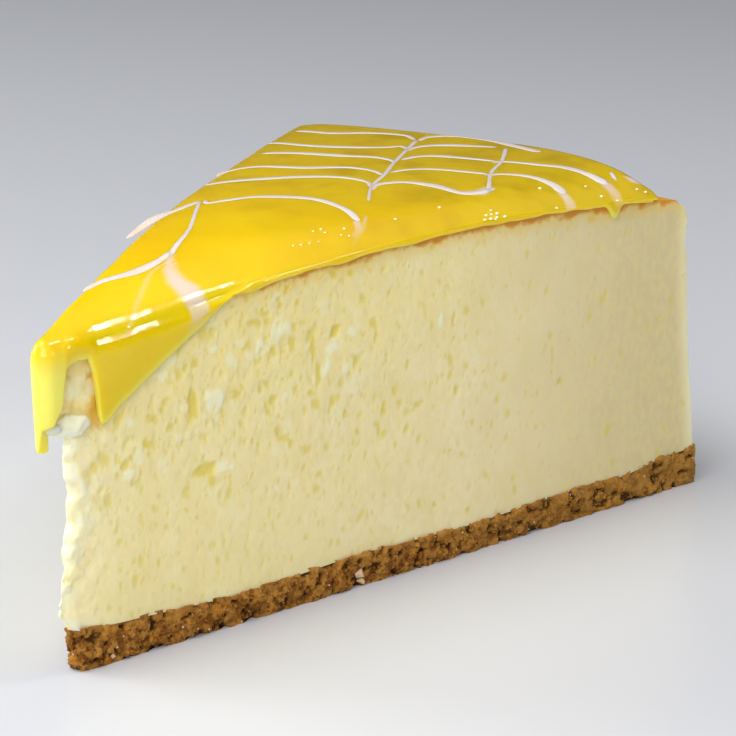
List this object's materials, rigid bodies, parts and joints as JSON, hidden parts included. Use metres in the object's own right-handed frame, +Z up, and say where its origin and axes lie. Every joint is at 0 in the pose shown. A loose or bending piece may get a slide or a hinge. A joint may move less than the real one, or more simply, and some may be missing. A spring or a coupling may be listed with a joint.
{
  "type": "lemon cheesecake slice",
  "caption": "Slice of lemon cheesecake on a biscuit base, with a poured glaze that runs over the cut and feathered white icing lines.",
  "frame": {"origin": "middle of the footprint's bounding box, on the surface that the slice stands on", "axes": "+Z up; +Y from the tip to the rim along the slice's middle line; +X towards the cut face that shows in the picture"},
  "size_m": [0.0734, 0.1284, 0.055],
  "materials": {
    "biscuit_crumb": "rough pressed biscuit crumb",
    "baked_filling": "soft, slightly moist cut with small holes",
    "lemon_glaze": "wet gloss, slightly translucent",
    "white_icing": "soft gloss"
  },
  "bodies": {
    "root": {"biscuit_base": "biscuit_crumb", "cheese_filling": "baked_filling", "lemon_glaze": "lemon_glaze"}
  },
  "joints": []
}
